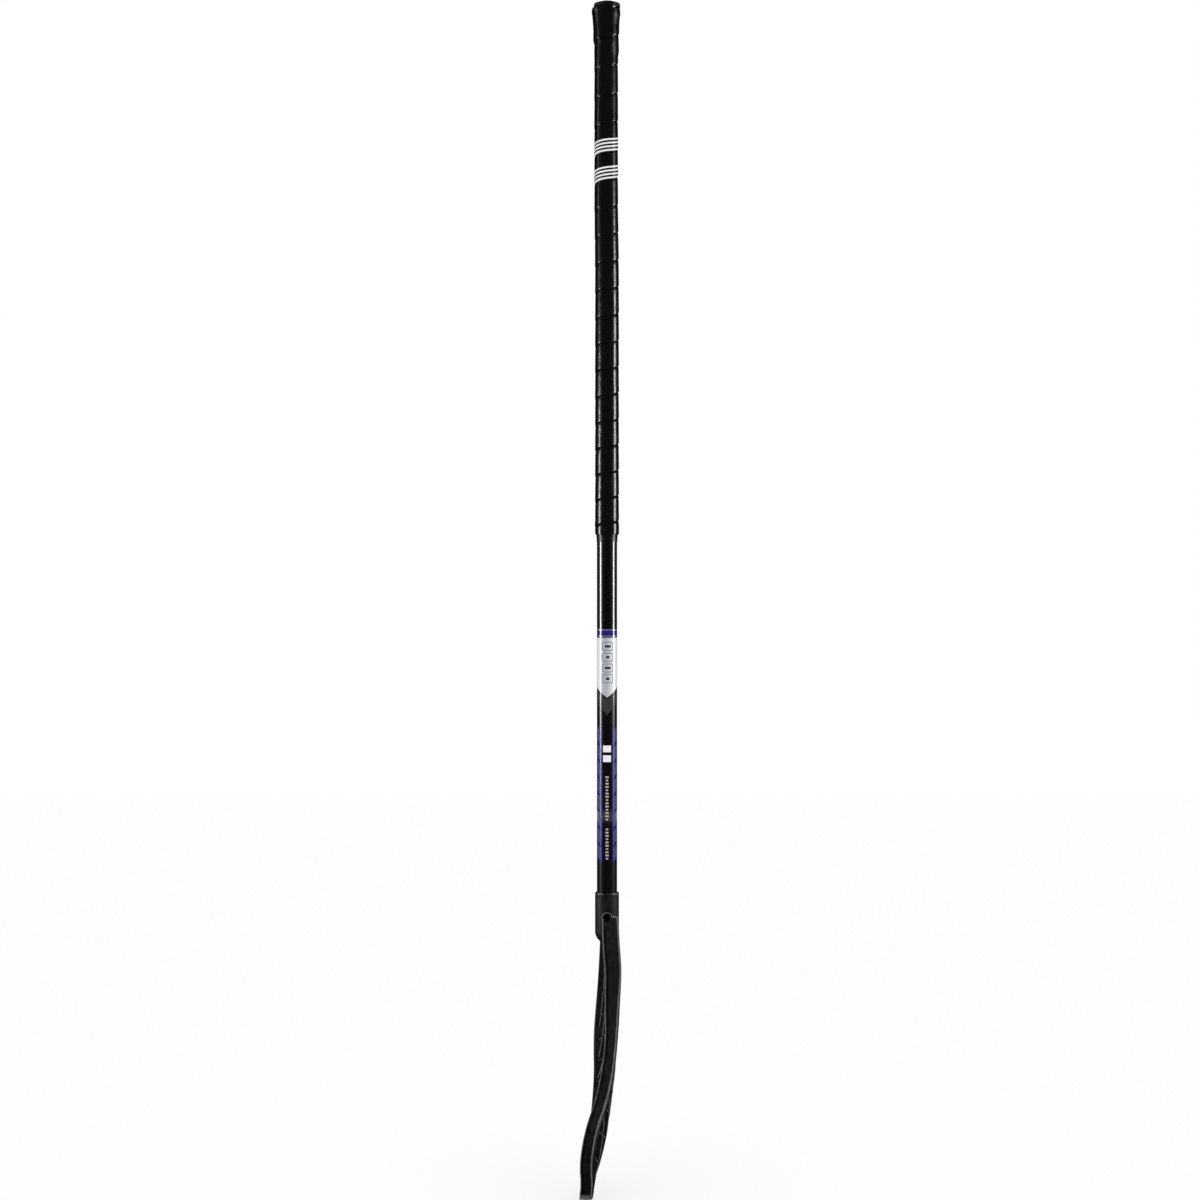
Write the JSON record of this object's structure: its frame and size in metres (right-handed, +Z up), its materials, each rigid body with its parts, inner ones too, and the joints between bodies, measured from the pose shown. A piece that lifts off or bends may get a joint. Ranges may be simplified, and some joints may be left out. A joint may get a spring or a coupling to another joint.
{
  "type": "floorball stick",
  "caption": "Floorball stick: slim composite tube with a wound soft grip and butt cap above, and a hooked, open-ribbed plastic blade screwed on below.",
  "frame": {"origin": "on the shaft's axis, in the middle of the wrapped grip, where the hands hold it", "axes": "+Z up along the shaft towards the butt cap, -Y towards the toe of the blade, -X towards the side that the blade hooks to"},
  "size_m": [0.0408, 0.2149, 1.1379],
  "materials": {
    "shaft_lacquer": "clear-lacquered black fibre composite with printed bands",
    "cap_plastic": "moulded black thermoplastic",
    "grip_polyurethane": "satin black polyurethane tape with printed white stripes",
    "vinyl_tape": "glossy black vinyl tape",
    "blade_plastic": "moulded charcoal polyethylene, fine matte grain",
    "screw_steel": "black-oxide steel"
  },
  "bodies": {
    "root": {"shaft_tube": "shaft_lacquer", "butt_cap": "cap_plastic", "grip_tape": "grip_polyurethane", "finishing_tape": "vinyl_tape", "blade": "blade_plastic", "blade_screw": "screw_steel"}
  },
  "joints": []
}
